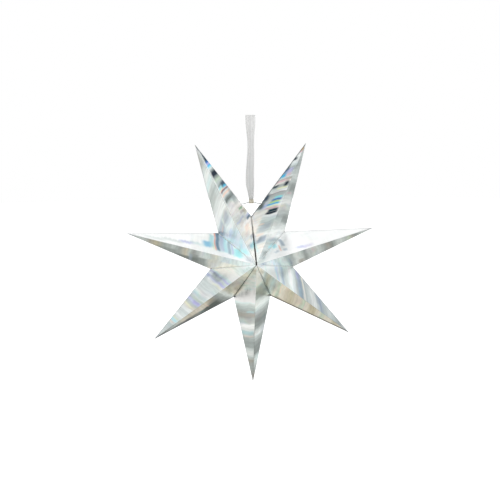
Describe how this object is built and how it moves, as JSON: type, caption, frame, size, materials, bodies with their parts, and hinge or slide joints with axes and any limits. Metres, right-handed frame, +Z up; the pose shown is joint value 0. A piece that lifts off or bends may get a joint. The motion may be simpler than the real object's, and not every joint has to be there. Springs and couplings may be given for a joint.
{
  "type": "folding paper star",
  "caption": "Hollow card star with pyramid points that folds flat like a fan and hangs from a ribbon loop by a small wire and clamp.",
  "frame": {"origin": "centre of the ribbon loop's top fold, where the star hangs", "axes": "+X right along the closure wire, -Y the front of the star, +Z up"},
  "size_m": [0.3892, 0.1277, 0.4236],
  "materials": {
    "foil_card": "silver holographic foil with soft rainbow bands",
    "ribbon": "thin satin",
    "clamp_metal": "pale champagne, satin",
    "wire_metal": "bright drawn wire"
  },
  "bodies": {
    "hanger": {"ribbon_loop": "ribbon"},
    "clamp": {"ribbon_clamp": "clamp_metal"},
    "wire": {"closure_wire": "wire_metal"},
    "point_1_front_left": {"point_1_front_left": "foil_card"},
    "point_1_back_left": {"point_1_back_left": "foil_card"},
    "point_1_front_right": {"point_1_front_right": "foil_card"},
    "point_1_back_right": {"point_1_back_right": "foil_card"},
    "point_2_front_left": {"point_2_front_left": "foil_card"},
    "point_2_back_left": {"point_2_back_left": "foil_card"},
    "point_2_front_right": {"point_2_front_right": "foil_card"},
    "point_2_back_right": {"point_2_back_right": "foil_card"},
    "point_3_front_left": {"point_3_front_left": "foil_card"},
    "point_3_back_left": {"point_3_back_left": "foil_card"},
    "point_3_front_right": {"point_3_front_right": "foil_card"},
    "point_3_back_right": {"point_3_back_right": "foil_card"},
    "point_4_front_left": {"point_4_front_left": "foil_card"},
    "point_4_back_left": {"point_4_back_left": "foil_card"},
    "point_4_front_right": {"point_4_front_right": "foil_card"},
    "point_4_back_right": {"point_4_back_right": "foil_card"},
    "point_5_front_left": {"point_5_front_left": "foil_card"},
    "point_5_back_left": {"point_5_back_left": "foil_card"},
    "point_5_front_right": {"point_5_front_right": "foil_card"},
    "point_5_back_right": {"point_5_back_right": "foil_card"},
    "point_6_front_left": {"point_6_front_left": "foil_card"},
    "point_6_back_left": {"point_6_back_left": "foil_card"},
    "point_6_front_right": {"point_6_front_right": "foil_card"},
    "point_6_back_right": {"point_6_back_right": "foil_card"},
    "point_7_front_left": {"point_7_front_left": "foil_card"},
    "point_7_back_left": {"point_7_back_left": "foil_card"},
    "point_7_front_right": {"point_7_front_right": "foil_card"},
    "point_7_back_right": {"point_7_back_right": "foil_card"}
  },
  "joints": [
    {"name": "turn", "type": "hinge", "parent": "hanger", "child": "clamp", "pos_m": [0, 0, -0.12723], "axis": [0, 0, 1], "range_deg": [-90, 90]},
    {"name": "rock", "type": "hinge", "parent": "clamp", "child": "wire", "pos_m": [0, 0, -0.13123], "axis": [0, 1, 0], "range_deg": [-8, 8]},
    {"name": "tilt", "type": "hinge", "parent": "wire", "child": "point_1_front_left", "pos_m": [0, 0, -0.13413], "axis": [1, 0, 0], "range_deg": [-20, 20]},
    {"name": "fold", "type": "hinge", "parent": "point_1_front_left", "child": "point_1_front_right", "pos_m": [0, -0.06505, -0.2206], "axis": [0.412, 0.3134, 0.8556], "range_deg": [0, 64.17]},
    {"name": "valley_1", "type": "hinge", "parent": "point_1_front_right", "child": "point_2_front_left", "pos_m": [0, -0.066, -0.2206], "axis": [-0.5578, -0.7007, -0.4448], "range_deg": [0, 89.96]},
    {"name": "edge_1_left", "type": "hinge", "parent": "point_1_front_left", "child": "point_1_back_left", "pos_m": [0, 0, -0.1534], "axis": [0.6091, 0, 0.7931], "range_deg": [0, 60.64]},
    {"name": "edge_1_right", "type": "hinge", "parent": "point_1_front_right", "child": "point_1_back_right", "pos_m": [0.05254, 0, -0.1787], "axis": [-0.2403, 0, -0.9707], "range_deg": [0, 60.64]},
    {"name": "ridge_2", "type": "hinge", "parent": "point_2_front_left", "child": "point_2_front_right", "pos_m": [0, -0.06505, -0.2206], "axis": [0.9258, 0.3134, 0.2113], "range_deg": [0, 64.22]},
    {"name": "valley_2", "type": "hinge", "parent": "point_2_front_right", "child": "point_3_front_left", "pos_m": [0, -0.066, -0.2206], "axis": [-0.6956, -0.7007, 0.1588], "range_deg": [0, 89.96]},
    {"name": "edge_2_left", "type": "hinge", "parent": "point_2_front_left", "child": "point_2_back_left", "pos_m": [0.05254, 0, -0.1787], "axis": [0.9998, 0, 0.0183], "range_deg": [0, 60.64]},
    {"name": "edge_2_right", "type": "hinge", "parent": "point_2_front_right", "child": "point_2_back_right", "pos_m": [0.06552, 0, -0.23555], "axis": [-0.9088, 0, -0.4173], "range_deg": [0, 60.64]},
    {"name": "ridge_3", "type": "hinge", "parent": "point_3_front_left", "child": "point_3_front_right", "pos_m": [0, -0.06505, -0.2206], "axis": [0.7424, 0.3134, -0.5921], "range_deg": [0, 64.22]},
    {"name": "valley_3", "type": "hinge", "parent": "point_3_front_right", "child": "point_4_front_left", "pos_m": [0, -0.066, -0.2206], "axis": [-0.3096, -0.7007, 0.6428], "range_deg": [0, 89.96]},
    {"name": "edge_3_left", "type": "hinge", "parent": "point_3_front_left", "child": "point_3_back_left", "pos_m": [0.06552, 0, -0.23555], "axis": [0.6377, 0, -0.7703], "range_deg": [0, 60.64]},
    {"name": "edge_3_right", "type": "hinge", "parent": "point_3_front_right", "child": "point_3_back_right", "pos_m": [0.02916, 0, -0.28115], "axis": [-0.8929, 0, 0.4503], "range_deg": [0, 60.64]},
    {"name": "ridge_4", "type": "hinge", "parent": "point_4_front_left", "child": "point_4_front_right", "pos_m": [0, -0.06505, -0.2206], "axis": [0, 0.3134, -0.9496], "range_deg": [0, 64.22]},
    {"name": "valley_4", "type": "hinge", "parent": "point_4_front_right", "child": "point_5_front_left", "pos_m": [0, -0.066, -0.2206], "axis": [0.3096, -0.7007, 0.6428], "range_deg": [0, 89.96]},
    {"name": "edge_4_left", "type": "hinge", "parent": "point_4_front_left", "child": "point_4_back_left", "pos_m": [0.02916, 0, -0.28115], "axis": [-0.2047, 0, -0.9788], "range_deg": [0, 60.64]},
    {"name": "edge_4_right", "type": "hinge", "parent": "point_4_front_right", "child": "point_4_back_right", "pos_m": [-0.02916, 0, -0.28115], "axis": [-0.2047, 0, 0.9788], "range_deg": [0, 60.64]},
    {"name": "ridge_5", "type": "hinge", "parent": "point_5_front_left", "child": "point_5_front_right", "pos_m": [0, -0.06505, -0.2206], "axis": [-0.7424, 0.3134, -0.5921], "range_deg": [0, 64.22]},
    {"name": "valley_5", "type": "hinge", "parent": "point_5_front_right", "child": "point_6_front_left", "pos_m": [0, -0.066, -0.2206], "axis": [0.6956, -0.7007, 0.1588], "range_deg": [0, 89.96]},
    {"name": "edge_5_left", "type": "hinge", "parent": "point_5_front_left", "child": "point_5_back_left", "pos_m": [-0.02916, 0, -0.28115], "axis": [-0.8929, 0, -0.4503], "range_deg": [0, 60.64]},
    {"name": "edge_5_right", "type": "hinge", "parent": "point_5_front_right", "child": "point_5_back_right", "pos_m": [-0.06552, 0, -0.23555], "axis": [0.6377, 0, 0.7703], "range_deg": [0, 60.64]},
    {"name": "ridge_6", "type": "hinge", "parent": "point_6_front_left", "child": "point_6_front_right", "pos_m": [0, -0.06505, -0.2206], "axis": [-0.9258, 0.3134, 0.2113], "range_deg": [0, 64.22]},
    {"name": "valley_6", "type": "hinge", "parent": "point_6_front_right", "child": "point_7_front_left", "pos_m": [0, -0.066, -0.2206], "axis": [0.5578, -0.7007, -0.4448], "range_deg": [0, 89.96]},
    {"name": "edge_6_left", "type": "hinge", "parent": "point_6_front_left", "child": "point_6_back_left", "pos_m": [-0.06552, 0, -0.23555], "axis": [-0.9088, 0, 0.4173], "range_deg": [0, 60.64]},
    {"name": "edge_6_right", "type": "hinge", "parent": "point_6_front_right", "child": "point_6_back_right", "pos_m": [-0.05254, 0, -0.1787], "axis": [0.9998, 0, -0.0183], "range_deg": [0, 60.64]},
    {"name": "ridge_7", "type": "hinge", "parent": "point_7_front_left", "child": "point_7_front_right", "pos_m": [0, -0.06505, -0.2206], "axis": [-0.412, 0.3134, 0.8556], "range_deg": [0, 64.22]},
    {"name": "edge_7_left", "type": "hinge", "parent": "point_7_front_left", "child": "point_7_back_left", "pos_m": [-0.05254, 0, -0.1787], "axis": [-0.2403, 0, 0.9707], "range_deg": [0, 60.64]},
    {"name": "edge_7_right", "type": "hinge", "parent": "point_7_front_right", "child": "point_7_back_right", "pos_m": [0, 0, -0.1534], "axis": [0.6091, 0, -0.7931], "range_deg": [0, 60.64]}
  ],
  "couplings": [
    {"joint": "valley_1", "follows": "fold", "ratio": 1.4011},
    {"joint": "edge_1_left", "follows": "fold", "ratio": 0.9442},
    {"joint": "edge_1_right", "follows": "fold", "ratio": 0.9442},
    {"joint": "ridge_2", "follows": "fold", "ratio": 1},
    {"joint": "valley_2", "follows": "fold", "ratio": 1.4011},
    {"joint": "edge_2_left", "follows": "fold", "ratio": 0.9442},
    {"joint": "edge_2_right", "follows": "fold", "ratio": 0.9442},
    {"joint": "ridge_3", "follows": "fold", "ratio": 1},
    {"joint": "valley_3", "follows": "fold", "ratio": 1.4011},
    {"joint": "edge_3_left", "follows": "fold", "ratio": 0.9442},
    {"joint": "edge_3_right", "follows": "fold", "ratio": 0.9442},
    {"joint": "ridge_4", "follows": "fold", "ratio": 1},
    {"joint": "valley_4", "follows": "fold", "ratio": 1.4011},
    {"joint": "edge_4_left", "follows": "fold", "ratio": 0.9442},
    {"joint": "edge_4_right", "follows": "fold", "ratio": 0.9442},
    {"joint": "ridge_5", "follows": "fold", "ratio": 1},
    {"joint": "valley_5", "follows": "fold", "ratio": 1.4011},
    {"joint": "edge_5_left", "follows": "fold", "ratio": 0.9442},
    {"joint": "edge_5_right", "follows": "fold", "ratio": 0.9442},
    {"joint": "ridge_6", "follows": "fold", "ratio": 1},
    {"joint": "valley_6", "follows": "fold", "ratio": 1.4011},
    {"joint": "edge_6_left", "follows": "fold", "ratio": 0.9442},
    {"joint": "edge_6_right", "follows": "fold", "ratio": 0.9442},
    {"joint": "ridge_7", "follows": "fold", "ratio": 1},
    {"joint": "edge_7_left", "follows": "fold", "ratio": 0.9442},
    {"joint": "edge_7_right", "follows": "fold", "ratio": 0.9442}
  ]
}
